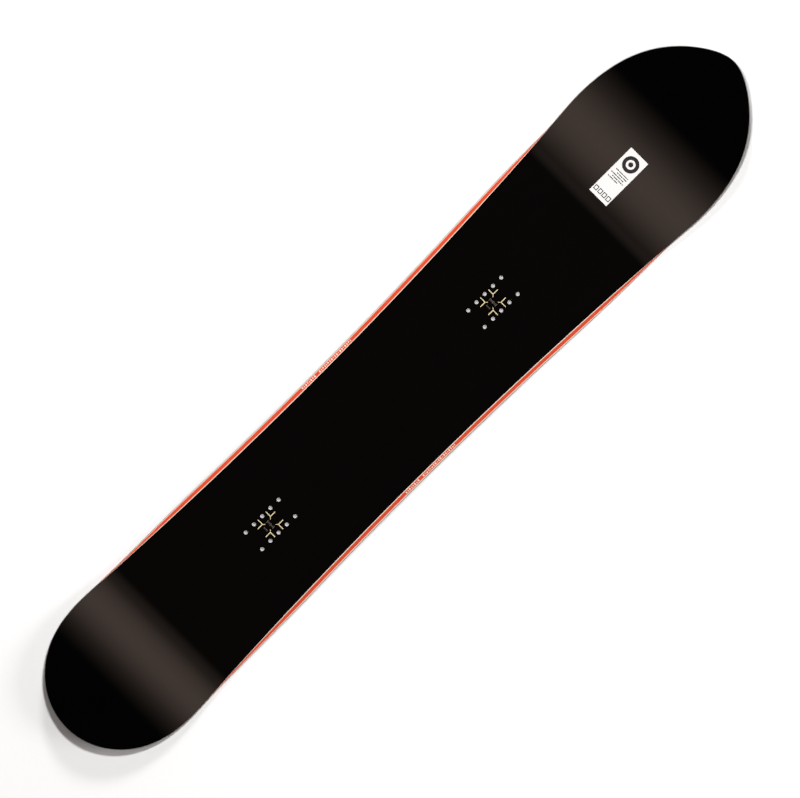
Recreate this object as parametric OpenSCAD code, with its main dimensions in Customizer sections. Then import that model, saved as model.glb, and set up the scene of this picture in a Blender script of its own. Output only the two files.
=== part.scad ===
// Snowboard, bare deck: sandwich build with a laminated wood core, bevelled sidewalls,
// full-wrap steel edges and two packs of threaded inserts.
// Frame: +X towards the nose, +Y to the left edge, +Z up, z = 0 at the two contact lines.

/* [Outline] */
// tip to tail, seen from above
board_length = 1620; // [1350:10:1950]
// full width at the waist, over the steel edges
waist_width = 262.4; // [230:0.2:315]
// radius of the sidecut arc, as the topsheet edge follows it
sidecut_radius = 8442; // [7000:1:12000]
// distance of the waist behind the middle of the board
waist_back = 105; // [0:5:150]
// from the nose tip back to the front ends of the sidewalls
nose_cap = 310; // [260:5:370]
// from the tail tip forward to the rear ends of the sidewalls
tail_cap = 215; // [180:5:260]

/* [Side profile] */
// from the front contact line to the nose tip
nose_length = 370; // [300:5:440]
// from the rear contact line to the tail tip
tail_length = 265; // [220:5:320]
// height of the base over the floor at the middle
camber_height = 3; // [1.5:0.5:8]
// height of the nose tip over the floor
nose_rise = 55; // [40:1:70]
// height of the tail tip over the floor
tail_rise = 40; // [30:1:60]

/* [Layers] */
// sintered base
base_thickness = 1.3; // [1:0.05:1.6]
// thin flange of the steel edge that is laminated in
tang_thickness = 0.5; // [0.4:0.05:0.7]
// rubber strip that damps and bonds the steel edge
foil_thickness = 0.25; // [0.2:0.05:0.4]
// lower glass laminate
lower_glass_thickness = 0.6; // [0.4:0.05:1]
// wood core under the feet
core_thickness = 6.6; // [5.5:0.1:8]
// core and tip spacers at the nose and tail
core_tip_thickness = 1.6; // [1.2:0.1:2.4]
// distance over which the core thins, outwards from the packs
core_taper = 425; // [350:5:450]
// upper glass laminate
upper_glass_thickness = 0.7; // [0.5:0.05:1]
// polyamide topsheet
topsheet_thickness = 0.5; // [0.4:0.05:0.8]

/* [Edges and sidewalls] */
// visible foot of the steel edge outside the laminate
edge_rim = 1; // [0.6:0.1:1.5]
// width of the steel edge body
edge_width = 2; // [1.8:0.1:2.6]
// reach of the short and long tang teeth from the outside
tang_short = 5; // [4:0.5:6]
// reach of the long tang teeth from the outside
tang_long = 7; // [6.5:0.5:9]
// sidewall stock, from the outside of the board to the wood core
sidewall_width = 13.5; // [12:0.5:18]
// horizontal run of the bevelled sidewall under the feet
bevel_run = 6; // [4:0.5:7]
// strip of lower glass left open at the foot of the bevel
lower_lip = 1.2; // [0.8:0.1:1.6]
// strip of upper glass left open at the top of the bevel
upper_lip = 1.3; // [0.8:0.1:1.6]

/* [Insert packs] */
// distance between the middles of the two packs
stance_width = 540; // [450:5:650]
// how far the stance middle lies behind the middle of the board
stance_back = 45; // [0:5:60]
// distance between inserts along the board
insert_pitch = 20; // [20:1:25]
// distance between the two rows across the board
row_spacing = 40; // [36:1:48]
// outer diameter of an insert barrel
insert_diameter = 8; // [7:0.1:9]
// tapping diameter of the M6 thread
thread_bore = 5; // [4.8:0.1:5.2]
// hole through the topsheet over each insert, the clearance size of M6
topsheet_hole = 6.6; // [6.4:0.1:7]
// diameter of the flange under the core
flange_diameter = 16; // [14:0.5:18]

/* [Nose label] */
// length of the label along the board
label_length = 102; // [80:1:120]
// width of the label across the board
label_width = 41; // [30:1:50]
// middle of the label behind the nose tip
label_back = 280; // [250:5:320]

/* [Hidden] */
xtip = board_length / 2;
xn = xtip - nose_length;
xt = -xtip + tail_length;
xm = (xn + xt) / 2;
half_span = (xn - xt) / 2;
nose_radius = (nose_length * nose_length + nose_rise * nose_rise) / (2 * nose_rise);
tail_radius = (tail_length * tail_length + tail_rise * tail_rise) / (2 * tail_rise);
camber_sum = half_span * half_span / (2 * camber_height);
nose_camber_radius = camber_sum - nose_radius;
tail_camber_radius = camber_sum - tail_radius;
xjn = xn - half_span * nose_radius / camber_sum;
xjt = xt + half_span * tail_radius / camber_sum;

pack_front = -stance_back + stance_width / 2;
pack_rear = -stance_back - stance_width / 2;
pack_half = 50;
// the core keeps its full thickness between these lines
taper_n0 = pack_front + pack_half;
taper_t0 = pack_rear - pack_half;
side_n = xtip - nose_cap;
side_t = -xtip + tail_cap;

band_full = lower_lip + bevel_run + upper_lip;
inner_half = waist_width / 2 - edge_rim - band_full;

// how wide the ledge beside the topsheet is: 1 under the feet, about 0 beyond the sidewalls
function raw_full(x) =
    1 - pow(max(0, x - taper_n0) / (side_n - taper_n0), 2.3)
      - pow(max(0, taper_t0 - x) / (taper_t0 - side_t), 1.35);
function full(x) =
    let (g = raw_full(x)) (g + sqrt(g * g + 0.0064)) / (1 + sqrt(1.0064));

// how thick the core is: 1 under the feet, then an even fall that is rounded at both ends
round_share = 0.15;
function fall(t) =
    t <= 0 ? 0
    : t < round_share ? t * t / (2 * round_share * (1 - round_share))
    : t < 1 - round_share ? (t - round_share / 2) / (1 - round_share)
    : t < 1 ? 1 - (1 - t) * (1 - t) / (2 * round_share * (1 - round_share))
    : 1;
function thick(x) = 1 - fall((x - taper_n0) / core_taper) - fall((taper_t0 - x) / core_taper);

// half width over the steel edges before the ends are rounded off
function open_half(x) =
    inner_half + pow(x + waist_back, 2) / (2 * sidecut_radius) + edge_rim + band_full * full(x);

// underside of the base: camber between the contacts, an arc up at each end
function rise(r, d) = r - sqrt(r * r - d * d);
function zb(x) =
    x > xjn ? rise(nose_radius, x - xn)
    : x < xjt ? rise(tail_radius, x - xt)
    : x > xm ? camber_height - pow(x - xm, 2) / (2 * nose_camber_radius)
    : camber_height - pow(x - xm, 2) / (2 * tail_camber_radius);
function slope(x) = (zb(min(x + 0.05, xtip)) - zb(max(x - 0.05, -xtip)))
    / (min(x + 0.05, xtip) - max(x - 0.05, -xtip));
function lift(x) = sqrt(1 + pow(slope(x), 2));

// heights of the layers over the base underside, square to the board
h_base = base_thickness;
h_tang = h_base + tang_thickness;
h_foil = h_tang + foil_thickness;
h_lower = h_foil + lower_glass_thickness;
function h_core(x) = h_lower + core_tip_thickness + (core_thickness - core_tip_thickness) * thick(x);
function at(x, d) = zb(x) + d * lift(x);
function top_of_core(x) = at(x, h_core(x));
function deck(x) = at(x, h_core(x) + upper_glass_thickness + topsheet_thickness);

// stations along the board
nose_steps = 16;
tail_steps = 11;
function run_of(a, b, n) = [for (i = [0 : n - 1]) a + (b - a) * i / n];
side_x = concat(
    run_of(side_t, taper_t0, 12),
    run_of(taper_t0, pack_rear + pack_half, 4),
    run_of(pack_rear + pack_half, pack_front - pack_half, 16),
    run_of(pack_front - pack_half, taper_n0, 4),
    run_of(taper_n0, side_n, 11),
    [side_n]);
stations = concat(
    [for (i = [0 : tail_steps - 1]) -xtip + (side_t + xtip) * i / tail_steps],
    side_x,
    [for (i = [1 : nose_steps]) side_n + (xtip - side_n) * i / nose_steps]);

// rounded ends: a is the angle from the junction, 90 at the tip
nose_end = 0.823 * nose_cap;
tail_end = 0.977 * tail_cap;
function sgn(c) = c < 0 ? -1 : 1;
function nose_point(a) =
    let (t = sin(a), x = xtip - nose_end * (1 - t))
    [x, open_half(x) * sgn(cos(a)) * sqrt(max(0, 1 - pow(t, 1.871))) * (1 - 0.2843 * pow(t, 5.183))];
function tail_point(a) =
    let (t = sin(a), x = -xtip + tail_end * (1 - t))
    [x, open_half(x) * sgn(cos(a)) * sqrt(max(0, 1 - pow(t, 2.79))) * (1 - 0.0971 * pow(t, 2.355))];
function unit(v) = v / norm(v);
function with_normal(p, d, s) = let (u = unit(d)) [p[0], p[1], -s * u[1], s * u[0]];
end_steps = 40;
function end_angle(i) = 90 * i / end_steps;
nose_side = [for (i = [1 : end_steps]) let (a = end_angle(i))
    with_normal(i == end_steps ? [xtip, 0] : nose_point(a),
        nose_point(a + 0.05) - nose_point(a - 0.05), 1)];
tail_side = [for (i = [end_steps : -1 : 1]) let (a = end_angle(i))
    with_normal(i == end_steps ? [-xtip, 0] : tail_point(a),
        tail_point(a - 0.05) - tail_point(a + 0.05), 1)];
// left side of the outline, tail to nose: x, y and the outward normal
left_side = concat(
    tail_side,
    [for (x = side_x) [x, open_half(x), 0, 1]],
    [for (x = [side_n + (xtip - nose_end - side_n) / 2]) [x, open_half(x), -0.06, 0.9982]],
    nose_side);

function inset(q, d) = [q[0] - d * q[2], max(0, q[1] - d * q[3])];
function mirrored(list) = [for (i = [len(list) - 1 : -1 : 0]) [list[i][0], -list[i][1]]];
function ring_inset(x, a, b) = a + b * full(x);
// left half of an outline pulled in by a, and by b more where the core is full
function half_line(a, b = 0) = [for (q = left_side) inset(q, ring_inset(q[0], a, b))];
function inner_points(list) = [for (i = [1 : len(list) - 2]) list[i]];
function reversed(list) = [for (i = [len(list) - 1 : -1 : 0]) list[i]];

// full plan shape pulled in from the outline
module plan(a, b = 0) {
    line = half_line(a, b);
    polygon(concat(line, mirrored(inner_points(line))));
}

// everything between two heights that follow the side profile
module band(lo, hi, from = -xtip - 1, to = xtip + 1) {
    xs = [for (x = stations) if (x > from && x < to) x];
    rotate([90, 0, 0])
        linear_extrude(height = 400, center = true)
            polygon(concat(
                [for (x = xs) [x, level(x, lo)]],
                [for (x = reversed(xs)) [x, level(x, hi)]]));
}
// levels count up through the build
function level(x, n) =
    n == 0 ? at(x, 0)
    : n == 1 ? at(x, h_base)
    : n == 2 ? at(x, h_tang)
    : n == 3 ? at(x, h_foil)
    : n == 4 ? at(x, h_lower)
    : n == 5 ? top_of_core(x) - pocket_depth
    : n == 6 ? top_of_core(x)
    : n == 7 ? at(x, h_core(x) + upper_glass_thickness)
    : n == 8 ? deck(x)
    : n == 9 ? deck(x) + label_thickness
    : at(x, h_core(x) + 6);
pocket_depth = 0.3;
label_thickness = 0.12;

module sheet(a, b, lo, hi) {
    intersection() {
        band(lo, hi);
        translate([0, 0, -20])
            linear_extrude(height = 140)
                plan(a, b);
    }
}

// ---- insert positions ----
insert_x = [for (i = [-2 : 2]) i * insert_pitch];
module each_insert(pack) {
    for (dx = insert_x)
        for (s = [-1, 1])
            translate([pack + dx, s * row_spacing / 2, 0])
                children();
}
module insert_wells(d) {
    for (pack = [pack_front, pack_rear])
        each_insert(pack)
            cylinder(h = 60, d = d, $fn = 48);
}

// ---- base ----
module base() {
    color([0.05, 0.05, 0.06])
        sheet(edge_width + 0.05, 0, 0, 1);
}

// ---- steel edges ----
// the tang is cut into alternate short and long teeth
function tooth_line(side) = [for (i = [0 : len(side) - 2]) for (k = [0 : 3])
    let (p = inset(side[i], k == 0 || k == 3 ? tang_short : tang_long),
        q = inset(side[i + 1], k == 0 || k == 3 ? tang_short : tang_long),
        w = k < 2 ? 0.25 : 0.75)
    p + (q - p) * w];
module edge_ring(a) {
    teeth = tooth_line(left_side);
    ends = [for (q = left_side) inset(q, tang_short)];
    outer = [for (q = left_side) inset(q, a)];
    polygon(concat(outer, [ends[len(ends) - 1]], reversed(teeth), [ends[0]]));
}
module half_ring(a, c) {
    outer = [for (q = left_side) inset(q, a)];
    inner = [for (q = left_side) inset(q, c)];
    polygon(concat(outer, reversed(inner)));
}
module tall(h = 140) {
    translate([0, 0, -20])
        linear_extrude(height = h)
            children();
}
module edge_half() {
    union() {
        intersection() {
            band(0, 2);
            tall() half_ring(0, edge_width);
        }
        intersection() {
            band(1, 2);
            tall() edge_ring(edge_width / 2);
        }
    }
}
module edge_left() {
    color([0.62, 0.63, 0.65])
        edge_half();
}
module edge_right() {
    color([0.62, 0.63, 0.65])
        mirror([0, 1, 0])
            edge_half();
}

// ---- rubber foils over the tangs ----
module foil_half() {
    intersection() {
        band(2, 3);
        tall() half_ring(edge_rim, tang_long);
    }
}
module foil_left() {
    color([0.16, 0.16, 0.17])
        foil_half();
}
module foil_right() {
    color([0.16, 0.16, 0.17])
        mirror([0, 1, 0])
            foil_half();
}

// ---- glass under the core ----
module biaxial_glass() {
    color([0.80, 0.83, 0.74])
        sheet(tang_long + 0.2, 0, 1, 3);
}
module lower_glass() {
    color([0.88, 0.84, 0.70])
        sheet(edge_rim, 0, 3, 4);
}

// ---- bevelled sidewalls ----
module sidewall_half() {
    n = len(side_x);
    points = [for (x = side_x)
        let (h = open_half(x), f = full(x), z0 = level(x, 4), z1 = level(x, 6))
        each [
            [x, h - edge_rim - lower_lip * f, z0],
            [x, h - edge_rim - (lower_lip + bevel_run) * f, z1],
            [x, h - sidewall_width, z1],
            [x, h - sidewall_width, z0]]];
    faces = [for (i = [0 : n - 2]) for (k = [0 : 3])
        let (a = 4 * i + k, b = 4 * i + (k + 1) % 4)
        each [[a, a + 4, b + 4], [a, b + 4, b]]];
    polyhedron(
        points = points,
        faces = concat(faces, [[0, 1, 2, 3]], [[for (k = [3 : -1 : 0]) 4 * (n - 1) + k]]),
        convexity = 4);
}
module sidewall_left() {
    color([0.87, 0.31, 0.16])
        sidewall_half();
}
module sidewall_right() {
    color([0.87, 0.31, 0.16])
        mirror([0, 1, 0])
            sidewall_half();
}

// ---- wood core, thirteen strips ----
core_bow = 75;
core_half_n = open_half(side_n) - sidewall_width;
core_half_t = open_half(side_t) - sidewall_width;
core_half_waist = inner_half + edge_rim + band_full - sidewall_width;
strip_1 = row_spacing / 4;
strip_2 = 3 * row_spacing / 4;
strip_step = (core_half_waist - strip_2) / 4.385;
// glue lines between the strips, from the middle out
joint = [-strip_1, strip_1, strip_2, strip_2 + strip_step, strip_2 + 2 * strip_step,
    strip_2 + 3 * strip_step, strip_2 + 4 * strip_step];
function bow(y, half) = core_bow * sqrt(max(0, 1 - pow(y / (half + 1.5), 2)));
function core_nose(y) = side_n + bow(y, core_half_n);
function core_tail(y) = side_t - bow(y, core_half_t);
module strip_plan(i) {
    y0 = joint[i];
    y1 = joint[i + 1];
    polygon([[core_tail(y0), y0], [core_nose(y0), y0], [core_nose(y1), y1], [core_tail(y1), y1]]);
}
module rim_plan() {
    y0 = joint[6];
    polygon(concat(
        [[core_nose(y0), y0], [core_tail(y0), y0]],
        [for (x = side_x) [x, open_half(x) - sidewall_width]]));
}
module strip(i) {
    intersection() {
        band(4, 6);
        tall()
            if (i == 6) rim_plan();
            else strip_plan(i);
    }
}
// shallow pocket from above, for the laid-in mats and carbon strips
module pocket(from, to) {
    band(5, 10, from, to);
}
function near(pack, s) = pack + s * pack_half;
module mat_pockets() {
    pocket(near(pack_front, -1) - 0.01, near(pack_front, 1) + 0.01);
    pocket(near(pack_rear, -1) - 0.01, near(pack_rear, 1) + 0.01);
}
// holes for the barrels and counterbores for the flanges
flange_height = 1.2;
seat_gap = 0.02;
module insert_seats() {
    for (pack = [pack_front, pack_rear])
        each_insert(pack)
            cylinder(h = 40, d = insert_diameter + 0.1, $fn = 48);
    for (pack = [pack_front, pack_rear])
        for (dx = insert_x)
            for (s = [-1, 1])
                translate([pack + dx, s * row_spacing / 2, -5])
                    cylinder(h = 5 + seat_z(pack + dx) + flange_height + 0.05,
                        d = flange_diameter + 0.2, $fn = 48);
}
// a flange stands level, so it clears the highest point of the sloping glass under it
function seat_z(x) = seat_gap + max([for (k = [-1, 0, 1]) at(x + k * flange_diameter / 2, h_lower)]);
// the topsheet covers the rim of a barrel, so its level top stays under the lowest point there
function over_glass(x) = at(x, h_core(x) + upper_glass_thickness);
function rim_z(x) = min([for (k = [-1, 0, 1]) over_glass(x + k * insert_diameter / 2)]) - seat_gap;

module strip_matted(i) {
    difference() {
        strip(i);
        mat_pockets();
    }
}
module strip_bored(i) {
    difference() {
        strip(i);
        mat_pockets();
        insert_seats();
    }
}
module strip_carbon(i) {
    difference() {
        strip(i);
        pocket(carbon_from, carbon_to);
    }
}
carbon_from = side_x[2] - 0.01;
carbon_to = side_x[len(side_x) - 3] + 0.01;
poplar = [0.84, 0.73, 0.55];
beech = [0.74, 0.56, 0.38];
module other_side() {
    mirror([0, 1, 0])
        children();
}
module core_middle() {
    color(poplar) strip_matted(0);
}
module core_left_1() {
    color(beech) strip_bored(1);
}
module core_left_2() {
    color(poplar) strip_matted(2);
}
module core_left_3() {
    color(poplar) strip(3);
}
module core_left_4() {
    color(beech) strip_carbon(4);
}
module core_left_5() {
    color(poplar) strip(5);
}
module core_left_6() {
    color(beech) strip(6);
}
module core_right_1() {
    color(beech) other_side() strip_bored(1);
}
module core_right_2() {
    color(poplar) other_side() strip_matted(2);
}
module core_right_3() {
    color(poplar) other_side() strip(3);
}
module core_right_4() {
    color(beech) other_side() strip_carbon(4);
}
module core_right_5() {
    color(poplar) other_side() strip(5);
}
module core_right_6() {
    color(beech) other_side() strip(6);
}

// ---- tip spacers between the core and the ends ----
core_line_y = concat(
    [core_half_n],
    [for (i = [6 : -1 : 1]) joint[i]],
    [for (i = [1 : 6]) -joint[i]],
    [-core_half_n]);
core_tail_y = [for (y = core_line_y) abs(y) == core_half_n ? sign(y) * core_half_t : y];
module nose_spacer() {
    front = [for (q = left_side) if (q[0] >= side_n) inset(q, edge_rim)];
    // square joint against the end of each sidewall
    line = concat([[side_n, open_half(side_n) - edge_rim - lower_lip * full(side_n)]],
        [for (i = [1 : len(front) - 1]) front[i]]);
    color([0.12, 0.12, 0.13])
        intersection() {
            band(4, 6);
            tall()
                polygon(concat(
                    line, mirrored([for (i = [0 : len(line) - 2]) line[i]]),
                    reversed([for (y = core_line_y)
                        [abs(y) == core_half_n ? side_n : core_nose(y), y]])));
        }
}
module tail_spacer() {
    back = [for (q = left_side) if (q[0] <= side_t) inset(q, edge_rim)];
    line = concat([for (i = [0 : len(back) - 2]) back[i]],
        [[side_t, open_half(side_t) - edge_rim - lower_lip * full(side_t)]]);
    color([0.12, 0.12, 0.13])
        intersection() {
            band(4, 6);
            tall()
                polygon(concat(
                    line,
                    [for (y = core_tail_y)
                        [abs(y) == core_half_t ? side_t : core_tail(y), y]],
                    mirrored([for (i = [1 : len(line) - 1]) line[i]])));
        }
}

// ---- threaded inserts ----
module insert(x) {
    z0 = seat_z(x);
    z1 = rim_z(x);
    r = insert_diameter / 2;
    c = 0.6;
    rotate_extrude($fn = 64)
        polygon([
            [0, z0], [flange_diameter / 2, z0],
            [flange_diameter / 2, z0 + flange_height],
            [r, z0 + flange_height],
            [r, z1 - 0.2], [r - 0.2, z1],
            [thread_bore / 2 + c, z1],
            [thread_bore / 2, z1 - c],
            [thread_bore / 2, z0 + 0.9],
            [0, z0 + 0.9]]);
}
module insert_pack(pack) {
    for (dx = insert_x)
        for (s = [-1, 1])
            translate([pack + dx, s * row_spacing / 2, 0])
                insert(pack + dx);
}
module inserts_front() {
    color([0.78, 0.79, 0.81])
        insert_pack(pack_front);
}
module inserts_rear() {
    color([0.78, 0.79, 0.81])
        insert_pack(pack_rear);
}

// ---- glass mats over the insert packs ----
module mat(pack) {
    difference() {
        intersection() {
            band(5, 6, near(pack, -1) - 0.01, near(pack, 1) + 0.01);
            tall()
                square([4 * xtip, 2 * joint[3]], center = true);
        }
        insert_wells(insert_diameter + 0.1);
    }
}
module mat_front() {
    color([0.85, 0.86, 0.78])
        mat(pack_front);
}
module mat_rear() {
    color([0.85, 0.86, 0.78])
        mat(pack_rear);
}

// ---- carbon strips in the core ----
module carbon_half() {
    intersection() {
        band(5, 6, carbon_from, carbon_to);
        tall()
            strip_plan(4);
    }
}
module carbon_left() {
    color([0.10, 0.10, 0.11])
        carbon_half();
}
module carbon_right() {
    color([0.10, 0.10, 0.11])
        other_side() carbon_half();
}

// ---- glass and topsheet over the core ----
module upper_glass() {
    color([0.93, 0.88, 0.72])
        difference() {
            sheet(edge_rim, lower_lip + bevel_run, 6, 7);
            insert_wells(insert_diameter + 0.1);
        }
}
module topsheet() {
    color([0.03, 0.03, 0.03])
        difference() {
            sheet(edge_rim, band_full, 7, 8);
            insert_wells(topsheet_hole);
        }
}
module nose_label() {
    color([0.95, 0.95, 0.94])
        intersection() {
            band(8, 9);
            tall()
                translate([xtip - label_back, 0])
                    square([label_length, label_width], center = true);
        }
}

base();
edge_left();
edge_right();
foil_left();
foil_right();
biaxial_glass();
lower_glass();
sidewall_left();
sidewall_right();
nose_spacer();
tail_spacer();
core_middle();
core_left_1();
core_left_2();
core_left_3();
core_left_4();
core_left_5();
core_left_6();
core_right_1();
core_right_2();
core_right_3();
core_right_4();
core_right_5();
core_right_6();
inserts_front();
inserts_rear();
mat_front();
mat_rear();
carbon_left();
carbon_right();
upper_glass();
topsheet();
nose_label();
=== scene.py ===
"""Dresses the CAD frame of a snowboard deck: smooth skins, real finishes, a studio and a camera."""

import math

import bpy
import numpy as np
from bpy.props import FloatProperty, FloatVectorProperty, PointerProperty
from mathutils import Euler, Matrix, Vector


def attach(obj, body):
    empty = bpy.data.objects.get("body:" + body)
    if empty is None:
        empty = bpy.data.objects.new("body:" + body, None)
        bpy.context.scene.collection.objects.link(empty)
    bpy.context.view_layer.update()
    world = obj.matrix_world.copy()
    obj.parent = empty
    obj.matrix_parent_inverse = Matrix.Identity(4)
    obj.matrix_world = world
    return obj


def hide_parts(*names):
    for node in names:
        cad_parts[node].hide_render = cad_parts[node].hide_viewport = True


bl_info = {
    "name": "Snowboard Deck Looks",
    "version": (1, 0, 0),
    "blender": (4, 5, 0),
    "location": "3D View > Sidebar > Snowboard",
    "description": "Skins, finishes and studio for a snowboard deck built on a CAD frame",
    "category": "Object",
}

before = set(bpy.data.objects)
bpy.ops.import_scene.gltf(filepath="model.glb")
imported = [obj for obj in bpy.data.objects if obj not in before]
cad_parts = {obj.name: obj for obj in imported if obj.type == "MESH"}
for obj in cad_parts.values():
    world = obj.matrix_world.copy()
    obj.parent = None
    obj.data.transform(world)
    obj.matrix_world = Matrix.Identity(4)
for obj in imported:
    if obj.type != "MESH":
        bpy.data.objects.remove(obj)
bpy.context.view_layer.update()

MM = 0.001
LENGTH = {"unit": "LENGTH", "subtype": "DISTANCE"}

# each insert pack keeps its full core and fine stations this far to either side
PACK_REACH = 50 * MM
# the rounded ends: run of the curve as a share of the cap, then power, cut and steepness
NOSE_END = (0.823, 1.871, 0.2843, 5.183)
TAIL_END = (0.977, 2.79, 0.0971, 2.355)
# width and bow of the core strips, whose straight cuts the tip spacers meet
STRIP_WIDTH = 20 * MM
CORE_BOW = 75 * MM
# an insert stands this far off the layers over and under it
SEAT_GAP = 0.03 * MM
# play round an insert's barrel, and between the base and the steel edge
BARREL_GAP = 0.05 * MM
# cells round an insert hole, and rings from the grid square to the hole
HOLE_SIDES = 32
HOLE_RINGS = 5


def linear(code):
    """sRGB hex to linear red, green, blue."""
    c = np.array([int(code[i : i + 2], 16) for i in (1, 3, 5)]) / 255.0
    return tuple(np.where(c <= 0.04045, c / 12.92, ((c + 0.055) / 1.055) ** 2.4))


def length(name, description, millimetres):
    """A size property, given in millimetres and kept in metres."""
    return FloatProperty(name=name, description=description, default=millimetres * MM, **LENGTH)


def colour(name, description, code):
    """A colour property, given as sRGB hex and kept linear."""
    return FloatVectorProperty(
        name=name, description=description, default=linear(code), subtype="COLOR", min=0, max=1
    )


# ---------------------------------------------------------------- sizes and colours


class DeckPlan(bpy.types.PropertyGroup):
    """Outline and side profile, the same values as the CAD part."""

    board_length: length("Length", "Tip to tail, seen from above", 1620)
    waist_width: length("Waist", "Full width at the waist", 262.4)
    sidecut_radius: length("Sidecut", "Radius of the sidecut arc", 8442)
    waist_back: length("Waist back", "Waist behind the middle of the board", 105)
    nose_cap: length("Nose cap", "Nose tip to the front ends of the sidewalls", 310)
    tail_cap: length("Tail cap", "Tail tip to the rear ends of the sidewalls", 215)
    nose_length: length("Nose", "Front contact line to the nose tip", 370)
    tail_length: length("Tail", "Rear contact line to the tail tip", 265)
    camber: length("Camber", "Height of the base over the floor at the middle", 3)
    nose_rise: length("Nose rise", "Height of the nose tip", 55)
    tail_rise: length("Tail rise", "Height of the tail tip", 40)


class DeckLayers(bpy.types.PropertyGroup):
    """Thickness of each layer and the steps between their outlines."""

    base: length("Base", "Sintered base", 1.3)
    tang: length("Tang", "Laminated flange of the steel edge", 0.5)
    foil: length("Foil", "Rubber foil", 0.25)
    lower_glass: length("Lower glass", "Glass laminate under the core", 0.6)
    core: length("Core", "Wood core under the feet", 6.6)
    core_tip: length("Core tip", "Core and spacers at the ends", 1.6)
    core_taper: length("Core taper", "Distance over which the core thins from the packs", 425)
    upper_glass: length("Upper glass", "Glass laminate over the core", 0.7)
    topsheet: length("Topsheet", "Polyamide topsheet", 0.5)
    edge_rim: length("Edge rim", "Steel edge left showing outside the laminate", 1)
    edge_width: length("Edge width", "Steel edge body", 2)
    tang_short: length("Short teeth", "Reach of the short tang teeth", 5)
    tang_long: length("Long teeth", "Reach of the long tang teeth", 7)
    sidewall_width: length("Sidewall", "Sidewall stock, outside to core", 13.5)
    lower_lip: length("Lower lip", "Lower glass left showing", 1.2)
    bevel_run: length("Bevel", "Run of the sidewall bevel", 6)
    upper_lip: length("Upper lip", "Upper glass left showing", 1.3)


class DeckPacks(bpy.types.PropertyGroup):
    """Insert packs, label and printed marks."""

    stance: length("Stance", "Between the middles of the packs", 540)
    stance_back: length("Set back", "Stance middle behind the board middle", 45)
    pitch: length("Pitch", "Between inserts along the board", 20)
    rows: length("Rows", "Between the two insert rows", 40)
    barrel: length("Barrel", "Outer diameter of an insert", 8)
    bore: length("Bore", "Tapping diameter of the M6 thread", 5)
    thread: length("Thread", "Outer diameter of the M6 thread", 5.9)
    flange: length("Flange", "Flange under the core", 16)
    film_hole: length("Topsheet hole", "Clearance hole over each insert", 6.6)
    label_length: length("Label length", "Along the board", 102)
    label_width: length("Label width", "Across the board", 41)
    label_back: length("Label back", "Middle of the label behind the nose tip", 280)


class DeckColours(bpy.types.PropertyGroup):
    """Colours of the finishes."""

    film: colour("Topsheet", "Black polyamide film", "#020202")
    ink: colour("Marks", "Pale gold ink of the pack marks", "#D9CBA0")
    ink_grey: colour("Fine marks", "Warm grey ink between the pack marks", "#6E665C")
    sidewall: colour("Sidewall", "Orange ABS", "#DC400E")
    print_cream: colour("Sidewall print", "Cream print on the sidewalls", "#F6E3D0")
    laminate: colour("Laminate", "Glass and epoxy laminate", "#F2E4D2")
    label: colour("Label", "White vinyl", "#E6E5E3")
    label_ink: colour("Label ink", "Dark print on the label", "#231E20")


# ---------------------------------------------------------------- shape of the board


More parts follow.
